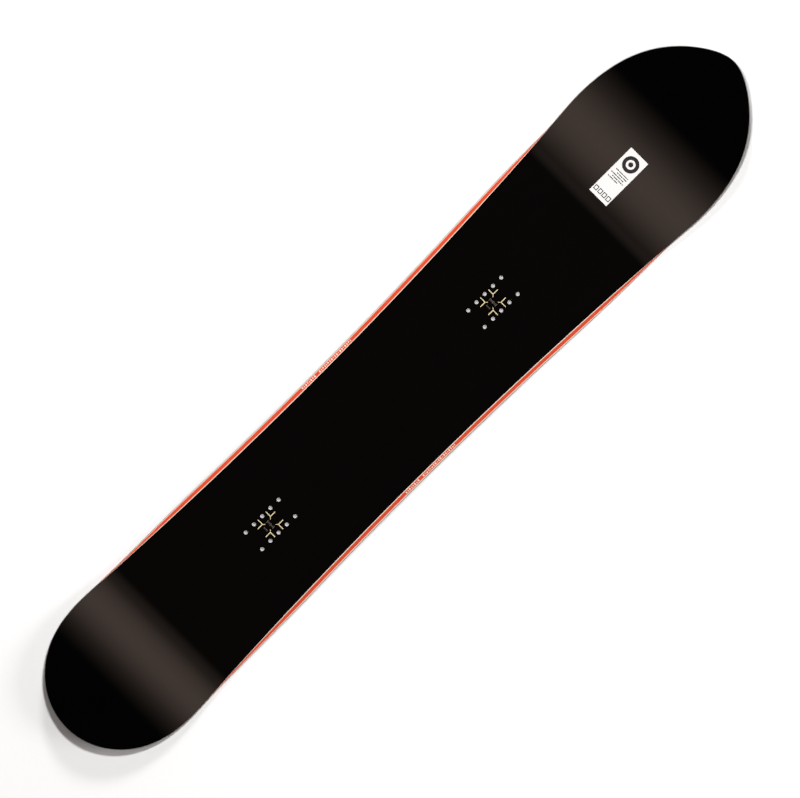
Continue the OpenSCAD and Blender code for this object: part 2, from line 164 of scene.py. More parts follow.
class Board:
    """Every height and width of the board as a function of x, in metres."""

    def __init__(self, scene):
        self.plan = plan = scene.deck_plan
        self.layers = layers = scene.deck_layers
        self.fittings = fittings = scene.deck_packs
        self.tip = plan.board_length / 2
        self.front_contact = self.tip - plan.nose_length
        self.rear_contact = plan.tail_length - self.tip
        self.middle = (self.front_contact + self.rear_contact) / 2
        half = (self.front_contact - self.rear_contact) / 2
        # a circle that climbs by the rise over the length, and camber arcs that meet it without a kink
        self.nose_radius = (plan.nose_length**2 + plan.nose_rise**2) / (2 * plan.nose_rise)
        self.tail_radius = (plan.tail_length**2 + plan.tail_rise**2) / (2 * plan.tail_rise)
        total = half**2 / (2 * plan.camber)
        self.front_arc = total - self.nose_radius
        self.rear_arc = total - self.tail_radius
        self.front_join = self.front_contact - half * self.nose_radius / total
        self.rear_join = self.rear_contact + half * self.tail_radius / total
        self.packs = [-fittings.stance_back + s * fittings.stance / 2 for s in (1, -1)]
        self.front_taper = self.packs[0] + PACK_REACH
        self.rear_taper = self.packs[1] - PACK_REACH
        self.side_front = self.tip - plan.nose_cap
        self.side_rear = plan.tail_cap - self.tip
        self.band = layers.lower_lip + layers.bevel_run + layers.upper_lip
        self.inner = plan.waist_width / 2 - layers.edge_rim - self.band
        self.base_top = layers.base
        self.tang_top = self.base_top + layers.tang
        self.foil_top = self.tang_top + layers.foil
        self.lower_glass_top = self.foil_top + layers.lower_glass

    def full(self, x):
        """Width of the ledge beside the topsheet: 1 under the feet, about 0 past the sidewalls.

        One less a power of the way from pack to sidewall end, with a soft stop at zero.
        """
        front_power, rear_power, softness = 2.3, 1.35, 0.0064
        front = np.maximum(0, x - self.front_taper) / (self.side_front - self.front_taper)
        rear = np.maximum(0, self.rear_taper - x) / (self.rear_taper - self.side_rear)
        share = 1 - front**front_power - rear**rear_power
        return (share + np.sqrt(share * share + softness)) / (1 + math.sqrt(1 + softness))

    def thick(self, x):
        """Thickness of the core: 1 under the feet, then an even fall, rounded at both ends.

        The fall is a line joined to each level by a parabola over the rounded share of its run.
        """

        def fall(t, rounded=0.15):
            """How far the core has thinned at the share t of its run, from 0 to 1."""
            t = np.clip(t, 0, 1)
            middle = (t - rounded / 2) / (1 - rounded)
            first = t * t / (2 * rounded * (1 - rounded))
            last = 1 - (1 - t) ** 2 / (2 * rounded * (1 - rounded))
            return np.where(t < rounded, first, np.where(t < 1 - rounded, middle, last))

        run = self.layers.core_taper
        return 1 - fall((x - self.front_taper) / run) - fall((self.rear_taper - x) / run)

    def open_half(self, x):
        """Half width before the ends are rounded: the sidecut arc plus the ledge outside it."""
        arc = self.inner + (x + self.plan.waist_back) ** 2 / (2 * self.plan.sidecut_radius)
        return arc + self.layers.edge_rim + self.band * self.full(x)

    def under(self, x):
        """Underside: camber arcs between the contact lines, a circular arc up at each end."""
        top, away = self.plan.camber, x - self.middle

        def climb(radius, d):
            """Height of a circle at d from its lowest point: the radius less the root of its
            square less that of d."""
            return radius - np.sqrt(np.maximum(radius * radius - d * d, 0))

        front, rear = top - away**2 / (2 * self.front_arc), top - away**2 / (2 * self.rear_arc)
        z = np.where(x > self.middle, front, rear)
        z = np.where(x > self.front_join, climb(self.nose_radius, x - self.front_contact), z)
        return np.where(x < self.rear_join, climb(self.tail_radius, x - self.rear_contact), z)

    def at(self, x, d):
        """Height of the surface d above the underside, measured square to the board: d times
        the root of one plus the slope squared, the slope taken over a tenth of a millimetre."""
        x = np.clip(x, -self.tip, self.tip)
        a, b = np.minimum(x + 5e-5, self.tip), np.maximum(x - 5e-5, -self.tip)
        slope = (self.under(a) - self.under(b)) / (a - b)
        return self.under(x) + d * np.sqrt(1 + slope**2)

    def core(self, x):
        """Top of the core: the lower layers, the tip thickness, and the rest times its share."""
        layers = self.layers
        return self.lower_glass_top + layers.core_tip + (layers.core - layers.core_tip) * self.thick(x)

    def glass(self, x):
        """Top of the upper glass."""
        return self.core(x) + self.layers.upper_glass

    def deck(self, x):
        """Top of the topsheet."""
        return self.glass(x) + self.layers.topsheet

    def side(self, ends=64):
        """Left side of the outline, tail to nose: x, y and the outward normal as arrays.

        The ends follow half width times the root of (1 - t^p) times (1 - a t^b), with t the
        sine of an angle that runs to 90 degrees at the tip.
        """
        plan = self.plan

        def end(angle, run, sign, power, cut, steep):
            """x and y on the curve of an end at an angle, by the formula above."""
            t = np.sin(angle)
            x = sign * (self.tip - run * (1 - t))
            y = np.sqrt(np.maximum(0, 1 - t**power)) * (1 - cut * t**steep) * np.sign(np.cos(angle))
            return x, self.open_half(x) * y

        def cap(run, sign, *shape):
            """Points of one end, and normals square to the chord between two angles close by."""
            angle = np.radians(90 * np.arange(1, ends + 1) / ends)
            x, y = end(angle, run, sign, *shape)
            x0, y0 = end(angle - 1e-3, run, sign, *shape)
            x1, y1 = end(angle + 1e-3, run, sign, *shape)
            y[-1] = 0
            dx, dy = x1 - x0, y1 - y0
            n = np.hypot(dx, dy)
            return x, y, -sign * dy / n, sign * dx / n

        nose_run, tail_run = NOSE_END[0] * plan.nose_cap, TAIL_END[0] * plan.tail_cap
        nose = cap(nose_run, 1, *NOSE_END[1:])
        tail = cap(tail_run, -1, *TAIL_END[1:])
        fine = int(round(2 * PACK_REACH / (self.fittings.pitch / 8)))
        front, rear = self.packs
        # stations from the tail end to the nose end, closest at the packs
        stops = (
            (self.side_rear, 26),
            (rear - PACK_REACH, fine),
            (rear + PACK_REACH, 44),
            (front - PACK_REACH, fine),
            (front + PACK_REACH, 26),
            (self.side_front, 6),
            (self.tip - nose_run, 1),
        )
        runs = [np.linspace(a, b, n, endpoint=False) for (a, n), (b, _) in zip(stops, stops[1:])]
        x = np.concatenate([*runs, [stops[-1][0]]])
        rise = (self.open_half(x + 1e-4) - self.open_half(x - 1e-4)) / 2e-4
        # square to the long axis between the packs, square to the outline at the ends
        turned = np.clip((x - self.front_taper) / (self.side_front - self.front_taper), 0, 1)
        turned = turned + np.clip((self.rear_taper - x) / (self.rear_taper - self.side_rear), 0, 1)
        nx = -rise * (turned * turned * (3 - 2 * turned)) / np.sqrt(1 + rise**2)
        mid = (x, self.open_half(x), nx, np.sqrt(1 - nx**2))
        tail = [a[::-1] for a in tail]
        return [np.concatenate(parts) for parts in zip(tail, mid, nose)]


def inset(side, d):
    """Points d inside the outline, the outline less d times its normals; d may be an array."""
    x, y, nx, ny = side
    return x - d * nx, np.maximum(y - d * ny, 0)


# ---------------------------------------------------------------- mesh helpers


def quads(rows, cols, first=0, around=False):
    """Four corners of every cell of a rows by cols grid of points; around joins the last column."""
    i = np.arange(rows - 1)[:, None]
    j = np.arange(cols if around else cols - 1)[None, :]
    a, b = i * cols + j, i * cols + (j + 1) % cols
    return first + np.stack([a, b, b + cols, a + cols], -1).reshape(-1, 4)


def weld(points, cells, step=1e-7):
    """Points closer than step become one, and cells left without area go."""
    key = np.round(points / step).astype(np.int64)
    _, keep, back = np.unique(key, axis=0, return_index=True, return_inverse=True)
    cells = back.reshape(-1)[cells]
    corner = cells != np.roll(cells, 1, axis=1)
    crossed = (cells[:, 0] == cells[:, 2]) | (cells[:, 1] == cells[:, 3])
    good = (corner.sum(1) >= 3) & ~crossed
    return points[keep], cells[good]


def without_pairs(cells):
    """Drops cells that lie face to face, so that shells which touch become one."""
    _, back, count = np.unique(
        np.sort(cells, 1), axis=0, return_inverse=True, return_counts=True
    )
    return cells[count[back.reshape(-1)] == 1]


def to_mesh(name, points, cells, finish, uv=None, smooth=30):
    """Arrays to a mesh object; a cell with two equal corners becomes a triangle."""
    mask = cells != np.roll(cells, 1, axis=1)
    mesh = bpy.data.meshes.new(name)
    loops, total = cells[mask], mask.sum(1)
    mesh.vertices.add(len(points))
    mesh.vertices.foreach_set("co", np.ascontiguousarray(points, np.float32).ravel())
    mesh.loops.add(len(loops))
    mesh.loops.foreach_set("vertex_index", loops.astype(np.int32))
    mesh.polygons.add(len(total))
    start = np.concatenate([[0], np.cumsum(total)[:-1]])
    mesh.polygons.foreach_set("loop_start", start.astype(np.int32))
    mesh.polygons.foreach_set("loop_total", total.astype(np.int32))
    if uv is not None:
        layer = mesh.uv_layers.new(name="finish")
        layer.data.foreach_set("uv", uv[loops].astype(np.float32).ravel())
    mesh.update(calc_edges=True)
    if mesh.validate():
        raise RuntimeError(f"{name} has a bad face")
    mesh.polygons.foreach_set("use_smooth", np.ones(len(total), bool))
    mesh.set_sharp_from_angle(angle=math.radians(smooth))
    mesh.materials.append(finish)
    piece = bpy.data.objects.new(name, mesh)
    bpy.context.scene.collection.objects.link(piece)
    return piece


def wear(piece, slot, *nodes):
    """The piece rides on the board and stands for its CAD nodes, which it hides. The slot argument is not
    used.
    """
    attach(piece, "root")
    if nodes:
        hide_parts(*nodes)
    return piece


def rim_edges(cells):
    """Directed edges that belong to one cell only, as start and end index arrays."""
    a, b = cells, np.roll(cells, -1, axis=1)
    a, b = a.ravel(), b.ravel()
    keep = a != b
    a, b = a[keep], b[keep]
    key = np.minimum(a, b) * (cells.max() + 1) + np.maximum(a, b)
    _, back, count = np.unique(key, return_inverse=True, return_counts=True)
    lone = count[back.reshape(-1)] == 1
    return a[lone], b[lone]


def shell(plan, cells, low, high):
    """Closed slab over a plan mesh: the plan at height high(x), turned over at low(x), and a
    wall of one cell along every outer edge."""
    n = len(plan)
    top = np.column_stack([plan, high(plan[:, 0])])
    bottom = np.column_stack([plan, low(plan[:, 0])])
    a, b = rim_edges(cells)
    wall = np.column_stack([b, a, a + n, b + n])
    return np.vstack([top, bottom]), np.vstack([cells, cells[:, ::-1] + n, wall])


def join(parts):
    """Several point and cell arrays as one, each part's cells counted on from the last."""
    points, cells, first = [], [], 0
    for p, c in parts:
        points.append(p)
        cells.append(c + first)
        first += len(p)
    return np.vstack(points), np.vstack(cells)


def sheet_plan(board, side, gap, holes=0.0):
    """Plan of a full-width sheet: rows across the board at each outline station, columns at fixed
    distances from the long axis that draw together where the board narrows.

    With holes, each insert gets a square of the grid replaced by rings that run from the square
    to a circle of that radius.
    """
    fittings = board.fittings
    x, half = inset(side, gap)
    fine = np.linspace(fittings.rows / 4, 3 * fittings.rows / 4, 9)
    wide = np.array([40, 52, 66, 80, 94, 108]) * MM
    narrow_below = 116 * MM
    near = np.concatenate([[0, fittings.rows / 8], fine, wide])
    edge = np.ones(1)
    cols = np.concatenate([-edge, -near[:0:-1], near, edge])
    y = cols[None, :] * np.minimum(1, half / narrow_below)[:, None]
    # the outermost columns lie on the outline itself
    y[:, 0], y[:, -1] = -half, half
    rows, n = len(x), len(cols)
    plan = np.stack([np.repeat(x[:, None], n, 1), y], -1).reshape(-1, 2)
    cells = quads(rows, n)[:, ::-1]
    if not holes:
        return weld2(plan, cells)
    middle = plan[cells].mean(1)
    reach = 2.5 * fittings.pitch
    inside = np.abs(np.abs(middle[:, 1]) - fittings.rows / 2) < fittings.rows / 4
    at_pack = np.zeros(len(cells), bool)
    for pack in board.packs:
        at_pack |= np.abs(middle[:, 0] - pack) < reach
    parts = [(plan, cells[~(inside & at_pack)])]
    turn = np.arange(HOLE_SIDES) / HOLE_SIDES * 2 * math.pi + math.pi / 4
    # a square's outline in equal steps from its corner, each side the last one turned by 90 degrees
    steps = HOLE_SIDES // 4
    s = np.arange(steps) / steps * 2 - 1
    first = np.column_stack([-s, np.ones(steps)])
    sides = [first]
    for _ in range(3):
        sides.append(np.column_stack([-sides[-1][:, 1], sides[-1][:, 0]]))
    square = np.concatenate(sides) * (fittings.pitch / 2)
    circle = holes * np.column_stack([np.cos(turn), np.sin(turn)])
    t = (np.arange(HOLE_RINGS) / (HOLE_RINGS - 1))[:, None, None]
    ring = (square * (1 - t) + circle * t).reshape(-1, 2)
    for cx, cy in insert_places(board):
        parts.append((ring + (cx, cy), quads(HOLE_RINGS, HOLE_SIDES, around=True)))
    return weld2(*join(parts))


def weld2(plan, cells):
    """Weld for a plan, whose points are pairs; every cell is turned to face up."""
    p, c = weld(np.column_stack([plan, np.zeros(len(plan))]), cells)
    p = p[:, :2]
    q = p[c]
    area = np.sum(q[..., 0] * np.roll(q[..., 1], -1, 1) - q[..., 1] * np.roll(q[..., 0], -1, 1), 1)
    c = np.where((area < 0)[:, None], c[:, ::-1], c)
    return p, c


def insert_places(board):
    """Middles of all inserts: five along each pack, in two rows."""
    fittings = board.fittings
    return [
        (pack + i * fittings.pitch, s * fittings.rows / 2)
        for pack in board.packs
        for i in range(-2, 3)
        for s in (-1, 1)
    ]


def rail(side, profile):
    """A closed profile carried along the left outline: profile is a list of (inset, height)
    pairs of arrays, and both ends are closed."""
    rows = len(side[0])
    n = len(profile)
    points = np.empty((rows, n, 3))
    for j, (gap, height) in enumerate(profile):
        x, y = inset(side, gap)
        points[:, j] = np.column_stack([x, y, np.broadcast_to(height, x.shape)])
    cells = quads(rows, n, around=True)
    cap = np.arange(n)
    fan = np.column_stack([np.zeros(n - 2, int), cap[1:-1], cap[2:], cap[2:]])
    cells = np.vstack([cells, fan[:, [0, 2, 1, 1]], fan + (rows - 1) * n])
    return points.reshape(-1, 3), cells


def turned_out(points, cells):
    """Turns every face over if the closed shape's volume comes out negative."""
    q = points[cells]
    six = np.sum(q[:, 0] * np.cross(q[:, 1], q[:, 2]) + q[:, 0] * np.cross(q[:, 2], q[:, 3]))
    return cells if six > 0 else cells[:, ::-1]


def mirrored(points, cells):
    """The same shape on the other side of the long axis, with its faces turned to match."""
    return points * (1, -1, 1), cells[:, ::-1]


# ---------------------------------------------------------------- finishes


def node(tree, kind, sets=(), links=()):
    """Adds a node: sets are (property or input, value), links are (input, output socket)."""
    made = tree.nodes.new(kind)
    for name, value in sets:
        if isinstance(name, str) and hasattr(made, name):
            setattr(made, name, value)
        else:
            made.inputs[name].default_value = value
    for name, source in links:
        tree.links.new(source, made.inputs[name])
    return made


def ramp(tree, source, *stops):
    """A colour ramp over source with (place, grey or colour) stops."""
    made = node(tree, "ShaderNodeValToRGB", (), (("Fac", source),))
    bar = made.color_ramp
    while len(bar.elements) < len(stops):
        bar.elements.new(0.5)
    for element, (place, value) in zip(bar.elements, stops):
        element.position = place
        element.color = (*((value,) * 3 if isinstance(value, (int, float)) else value), 1)
    return made.outputs["Color"]


def started(name, roughness, metallic=0.0, ior=1.5, **more):
    """A material with its Principled shader, Object coordinates and a few constant sockets."""
    made = bpy.data.materials.new(name)
    made.use_nodes = True
    tree = made.node_tree
    skin = tree.nodes["Principled BSDF"]
    skin.inputs["Roughness"].default_value = roughness
    skin.inputs["Metallic"].default_value = metallic
    skin.inputs["IOR"].default_value = ior
    for socket, value in more.items():
        skin.inputs[socket.replace("_", " ")].default_value = value
    place = node(tree, "ShaderNodeTexCoord")
    return made, tree, skin, place.outputs["Object"]


def stretched(tree, source, sizes, turn=(0, 0, 0)):
    """The pattern space in periods: one over the size of a feature on each axis, the sizes in
    millimetres."""
    scale = tuple(1 / (size * MM) for size in sizes)
    made = node(
        tree, "ShaderNodeMapping", (("Scale", scale), ("Rotation", turn)), (("Vector", source),)
    )
    return made.outputs["Vector"]


def noise(tree, source, scale=1.0, detail=3.0, rough=0.55):
    """Fractal noise over source, from 0 to 1."""
    made = node(
        tree,
        "ShaderNodeTexNoise",
        (("Scale", scale), ("Detail", detail), ("Roughness", rough)),
        (("Vector", source),),
    )
    return made.outputs["Fac"]


def blend(tree, fac, a, b):
    """Mixes two colours, each a value or a socket."""
    made = node(tree, "ShaderNodeMix", (("data_type", "RGBA"),))
    for name, value in ((6, a), (7, b)):
        if isinstance(value, bpy.types.NodeSocket):
            tree.links.new(value, made.inputs[name])
        else:
            made.inputs[name].default_value = (*tuple(value)[:3], 1)
    tree.links.new(fac, made.inputs[0])
    return made.outputs[2]


def bumped(tree, skin, height, distance, strength=1.0):
    """Bump of that real depth in metres on the shader's normal."""
    made = node(
        tree,
        "ShaderNodeBump",
        (("Distance", distance), ("Strength", strength)),
        (("Height", height),),
    )
    tree.links.new(made.outputs["Normal"], skin.inputs["Normal"])


def link_range(tree, skin, source, socket, low, high):
    """Drives a shader socket with source, spread from low to high."""
    made = node(
        tree,
        "ShaderNodeMapRange",
        (("To Min", low), ("To Max", high)),
        (("Value", source),),
    )
    tree.links.new(made.outputs["Result"], skin.inputs[socket])


def shade(colour_value, factor):
    """The colour times a factor, no channel over 1."""
    return tuple(min(1.0, c * factor) for c in tuple(colour_value)[:3])


def both_of(tree, operation, first, second):
    """Two patterns joined by one arithmetic operation."""
    made = node(
        tree, "ShaderNodeMath", (("operation", operation),), ((0, first), (1, second))
    )
    return made.outputs[0]


# the wave texture's scale at which one wave takes one unit of its space
ONE_WAVE = 0.314

FINISHES = {}


def finish(name):
    """The finish with that key, made the first time it is asked for."""
    if name not in FINISHES:
        FINISHES[name] = MAKERS[name](bpy.context.scene.deck_colours)
    return FINISHES[name]


def polyamide_film(c):
    """Black polyamide, hot pressed: polished at nose and tail, where soft light shows as one clean
    sheen, and a dull deep black between the contact lines, with fine peel and a faint cloudiness."""
    made, tree, skin, place = started("polyamide_film_gloss_black", 0.05)
    peel = noise(tree, stretched(tree, place, (4,) * 3), 1, 2)
    haze = noise(tree, stretched(tree, place, (90, 30, 90)), 1, 5, 0.65)
    tone = blend(tree, haze, shade(c.film, 0.8), shade(c.film, 1.5))
    tree.links.new(tone, skin.inputs["Base Color"])
    plan = bpy.context.scene.deck_plan
    front = plan.board_length / 2 - plan.nose_length
    rear = plan.tail_length - plan.board_length / 2
    middle, half = (front + rear) / 2, (front - rear) / 2
    # the polish grows over 36 mm of board, from just past each contact line
    starts, ends = half + 6 * MM, half + 42 * MM
    split = node(tree, "ShaderNodeSeparateXYZ", (), (("Vector", place),))
    along = node(
        tree,
        "ShaderNodeMath",
        (("operation", "SUBTRACT"), (1, middle)),
        ((0, split.outputs["X"]),),
    )
    away = node(tree, "ShaderNodeMath", (("operation", "ABSOLUTE"),), ((0, along.outputs[0]),))
    polish = node(
        tree,
        "ShaderNodeMapRange",
        (("interpolation_type", "SMOOTHSTEP"), ("From Min", starts), ("From Max", ends)),
        (("Value", away.outputs[0]),),
    ).outputs["Result"]
    link_range(tree, skin, polish, "Specular IOR Level", 0.025, 0.5)
    link_range(tree, skin, polish, "Roughness", 0.22, 0.05)
    bumped(tree, skin, peel, 1e-6, 0.4)
    return made


def ink_layer(name, ink, thin, thick):
    """A screen-printed layer of ink, satin, whose tone drifts between two shades with its cover."""
    made, tree, skin, place = started(name, 0.5)
    cover = noise(tree, stretched(tree, place, (1.2,) * 3), 1, 4)
    tone = blend(tree, cover, shade(ink, thin), shade(ink, thick))
    tree.links.new(tone, skin.inputs["Base Color"])
    bumped(tree, skin, cover, 1e-5, 0.4)
    return made


def screen_ink(c):
    """Screen-printed ink, pale gold: a thin satin film, a little uneven in its cover."""
    return ink_layer("screen_ink_pale_gold", c.ink, 0.86, 1.08)


def screen_ink_grey(c):
    """Screen-printed ink, warm grey and thin, so the black film shows through a little."""
    return ink_layer("screen_ink_warm_grey", c.ink_grey, 0.7, 1.1)


def edge_steel(c):
    """Ground carbon steel: bright along the board, with fine grinding lines across the edge,
    which are drawn coarser than a real grind so that they show."""
    made, tree, skin, place = started("edge_steel_ground", 0.34, metallic=1.0)
    lines = noise(tree, stretched(tree, place, (0.4, 6, 6)), 1, 3)
    cloud = noise(tree, stretched(tree, place, (40,) * 3), 1, 4)
    tone = blend(tree, cloud, linear("#C2C4C6"), linear("#DADBDC"))
    tree.links.new(tone, skin.inputs["Base Color"])
    link_range(tree, skin, lines, "Roughness", 0.26, 0.46)
    bumped(tree, skin, lines, 8e-6, 0.5)
    return made


def abs_orange(c):
    """Planed ABS, orange: satin, with the cutter's fine lines along the bevel."""
    made, tree, skin, place = started("abs_sidewall_planed_orange", 0.42, Specular_IOR_Level=0.28)
    lines = noise(tree, stretched(tree, place, (160, 0.5, 0.5)), 1, 3)
    cloud = noise(tree, stretched(tree, place, (120, 30, 30)), 1, 3)
    tone = blend(tree, cloud, shade(c.sidewall, 0.9), shade(c.sidewall, 1.06))
    tone = blend(tree, ramp(tree, lines, (0.35, 0.0), (0.7, 0.22)), tone, shade(c.sidewall, 0.72))
    tree.links.new(tone, skin.inputs["Base Color"])
    link_range(tree, skin, lines, "Roughness", 0.3, 0.5)
    bumped(tree, skin, lines, 1.5e-5, 0.5)
    return made


def pad_print(c):
    """Pad-printed cream ink on the sidewall: matt, slightly thin in places."""
    made, tree, skin, place = started("pad_print_cream", 0.55)
    cover = noise(tree, stretched(tree, place, (0.9,) * 3), 1, 3)
    tone = blend(tree, cover, shade(c.print_cream, 0.88), shade(c.print_cream, 1.05))
    tree.links.new(tone, skin.inputs["Base Color"])
    bumped(tree, skin, cover, 1e-5, 0.3)
    return made


def glass_laminate(c):
    """Glass fibre in epoxy: cream and a little glassy, with its crossed rovings showing."""
    made, tree, skin, place = started("glass_epoxy_laminate", 0.32)
    weave = []
    for turn in (45, -45):
        turned = stretched(tree, place, (1.9,) * 3, (0, 0, math.radians(turn)))
        wave = node(
            tree,
            "ShaderNodeTexWave",
            (("wave_profile", "SIN"), ("Scale", ONE_WAVE), ("Distortion", 0.6), ("Detail", 1.0)),
            (("Vector", turned),),
        )
        weave.append(wave.outputs["Fac"])
    crossed = both_of(tree, "MULTIPLY", *weave)
    cloud = noise(tree, stretched(tree, place, (30,) * 3), 1, 3)
    tone = blend(tree, cloud, shade(c.laminate, 0.93), shade(c.laminate, 1.03))
    tone = blend(tree, ramp(tree, crossed, (0.0, 0.3), (0.8, 0.0)), tone, shade(c.laminate, 0.7))
    tree.links.new(tone, skin.inputs["Base Color"])
    link_range(tree, skin, crossed, "Roughness", 0.42, 0.26)
    bumped(tree, skin, crossed, 3e-5, 0.6)
    return made


def glass_mat(c):
    """Chopped-strand glass mat wetted with epoxy: whitish, with short fibres lying every way."""
    made, tree, skin, place = started("glass_mat_chopped", 0.4)
    long_way = noise(tree, stretched(tree, place, (12, 0.6, 1000), (0, 0, 0.6)), 1, 2)
    cross = noise(tree, stretched(tree, place, (0.6, 12, 1000), (0, 0, 0.35)), 1, 2)
    strands = both_of(tree, "MAXIMUM", long_way, cross)
    tone = ramp(tree, strands, (0.42, linear("#C9CBB8")), (0.68, linear("#F1F2E8")))
    tree.links.new(tone, skin.inputs["Base Color"])
    bumped(tree, skin, strands, 4e-5, 0.6)
    return made


def sintered_base(c):
    """Sintered polyethylene, black and stone ground: waxy, with the stone's fine lines running
    along the board and a fainter cross set."""
    made, tree, skin, place = started("polyethylene_base_stone_ground", 0.34, ior=1.51)
    along = noise(tree, stretched(tree, place, (90, 0.7, 1000)), 1, 2)
    cross = noise(tree, stretched(tree, place, (90, 1.1, 1000), (0, 0, 0.16)), 1, 2)
    ground = both_of(tree, "MULTIPLY", along, cross)
    tone = ramp(tree, ground, (0.12, linear("#0B0B0C")), (0.45, linear("#1D1D1F")))
    tree.links.new(tone, skin.inputs["Base Color"])
    link_range(tree, skin, ground, "Roughness", 0.24, 0.5)
    bumped(tree, skin, ground, 2.5e-5, 0.7)
    return made


def abs_black(c):
    """Sawn black ABS of the tip spacers: matt, with faint cloudy saw and mill marks."""
    made, tree, skin, place = started("abs_spacer_black", 0.5)
    cloud = noise(tree, stretched(tree, place, (20, 1.5, 2)), 1, 4)
    tree.links.new(blend(tree, cloud, linear("#161617"), linear("#26262A")), skin.inputs["Base Color"])
    link_range(tree, skin, cloud, "Roughness", 0.42, 0.6)
    bumped(tree, skin, cloud, 2e-5, 0.5)
    return made


def rubber_foil(c):
    """Calendered rubber foil: dark grey, dull, with a fine fabric-like press pattern."""
    made, tree, skin, place = started("rubber_foil_calendered", 0.78)
    grain = noise(tree, stretched(tree, place, (0.8,) * 3), 1, 4)
    tree.links.new(blend(tree, grain, linear("#232426"), linear("#37383A")), skin.inputs["Base Color"])
    bumped(tree, skin, grain, 4e-5, 0.7)
    return made


def carbon_tape(c):
    """Unidirectional carbon tape: nearly black, its tows glinting in lines along the board."""
    made, tree, skin, place = started("carbon_tape_unidirectional", 0.28, Coat_Weight=0.4)
    tows = noise(tree, stretched(tree, place, (400, 0.9, 1000)), 1, 3)
    tree.links.new(
        ramp(tree, tows, (0.3, linear("#0C0C0E")), (0.72, linear("#3A3B40"))),
        skin.inputs["Base Color"],
    )
    link_range(tree, skin, tows, "Roughness", 0.42, 0.2)
    bumped(tree, skin, tows, 2e-5, 0.6)
    return made


def wood(name, light, dark, line, ring, fleck):
    """Planed wood with its grain along the board: wide early and late wood bands, fine fibre
    lines, and short pore flecks. Real fibres are too fine to show, so line draws them coarser."""
    made, tree, skin, place = started(name, 0.55)
    bend = noise(tree, stretched(tree, place, (350, 30, 30)), 1, 2)
    grown = node(
        tree,
        "ShaderNodeTexWave",
        (
            ("bands_direction", "Y"),
            ("Scale", ONE_WAVE),
            ("Distortion", 7.0),
            ("Detail", 2.0),
            ("Detail Scale", 0.6),
        ),
        (("Vector", stretched(tree, place, (220, ring, ring))),),
    )
    fibre = noise(tree, stretched(tree, place, (50, line, line)), 1, 4)
    pores = noise(tree, stretched(tree, place, (4, 0.5, 0.5)), 1, 2)
    tone = blend(tree, grown.outputs["Fac"], linear(light), linear(dark))
    tone = blend(tree, ramp(tree, fibre, (0.3, 0.0), (0.75, 0.45)), tone, linear(dark))
    tone = blend(tree, ramp(tree, pores, (0.6, 0.0), (0.72, fleck)), tone, shade(linear(dark), 0.5))
    tone = blend(tree, ramp(tree, bend, (0.3, 0.0), (0.8, 0.2)), tone, linear(light))
    tree.links.new(tone, skin.inputs["Base Color"])
    link_range(tree, skin, fibre, "Roughness", 0.48, 0.66)
    bumped(tree, skin, fibre, 4e-5, 0.5)
    return made


def poplar(c):
    """Poplar: pale cream wood, quiet grain, hardly any pores."""
    return wood("poplar_planed", "#E2CDA4", "#C9AC7C", line=0.8, ring=6, fleck=0.15)


def beech(c):
    """Beech: warmer and denser, with the short dark flecks of its rays."""
    return wood("beech_planed", "#CFA27A", "#A87B54", line=0.6, ring=4, fleck=0.6)


def insert_steel(c):
    """Turned and blasted stainless steel: pale and dull, with a trace of the lathe's rings."""
    made, tree, skin, _ = started("stainless_turned_blasted", 0.5, metallic=0.35)
    sheet = node(tree, "ShaderNodeTexCoord").outputs["UV"]
    # the first axis of the sheet counts turns, not metres, so its size is 2.5 turns
    rings = noise(tree, stretched(tree, sheet, (2500, 0.12, 1000)), 1, 2)
    tone = blend(tree, rings, linear("#E6E6E8"), linear("#F6F6F7"))
    tree.links.new(tone, skin.inputs["Base Color"])
    link_range(tree, skin, rings, "Roughness", 0.44, 0.58)
    bumped(tree, skin, rings, 6e-6, 0.5)
    return made


def label_vinyl(c):
    """White vinyl label: satin, faintly dimpled by its liner."""
    made, tree, skin, place = started("vinyl_label_white", 0.42)
    dimple = noise(tree, stretched(tree, place, (1.5,) * 3), 1, 3)
    tree.links.new(blend(tree, dimple, shade(c.label, 0.96), shade(c.label, 1.02)), skin.inputs["Base Color"])
    bumped(tree, skin, dimple, 1.2e-5, 0.5)
    return made


def label_ink(c):
    """Thermal-transfer print on the label: dark, dry, with tiny breaks in its cover."""
    made, tree, skin, place = started("transfer_print_dark", 0.6)
    cover = noise(tree, stretched(tree, place, (0.7,) * 3), 1, 4)
    breaks = ramp(tree, cover, (0.25, 0.35), (0.5, 0.0))
    tone = blend(tree, breaks, shade(c.label_ink, 1), shade(c.label_ink, 2.2))
    tree.links.new(tone, skin.inputs["Base Color"])
    bumped(tree, skin, cover, 8e-6, 0.4)
    return made


def studio_paper(c):
    """Seamless white studio paper: matt, with a faint tooth."""
    made, tree, skin, place = started("studio_paper_white", 0.95)
    skin.inputs["Specular IOR Level"].default_value = 0.1
    tooth = noise(tree, stretched(tree, place, (3,) * 3), 1, 2)
    tree.links.new(blend(tree, tooth, linear("#F3F3F3"), linear("#F7F7F7")), skin.inputs["Base Color"])
    return made


MAKERS = {
    "film": polyamide_film,
    "ink": screen_ink,
    "ink_grey": screen_ink_grey,
    "steel": edge_steel,
    "sidewall": abs_orange,
    "print": pad_print,
    "laminate": glass_laminate,
    "mat": glass_mat,
    "base": sintered_base,
    "spacer": abs_black,
    "foil": rubber_foil,
    "carbon": carbon_tape,
    "poplar": poplar,
    "beech": beech,
    "insert": insert_steel,
    "label": label_vinyl,
    "label_ink": label_ink,
    "paper": studio_paper,
}


# ---------------------------------------------------------------- operators


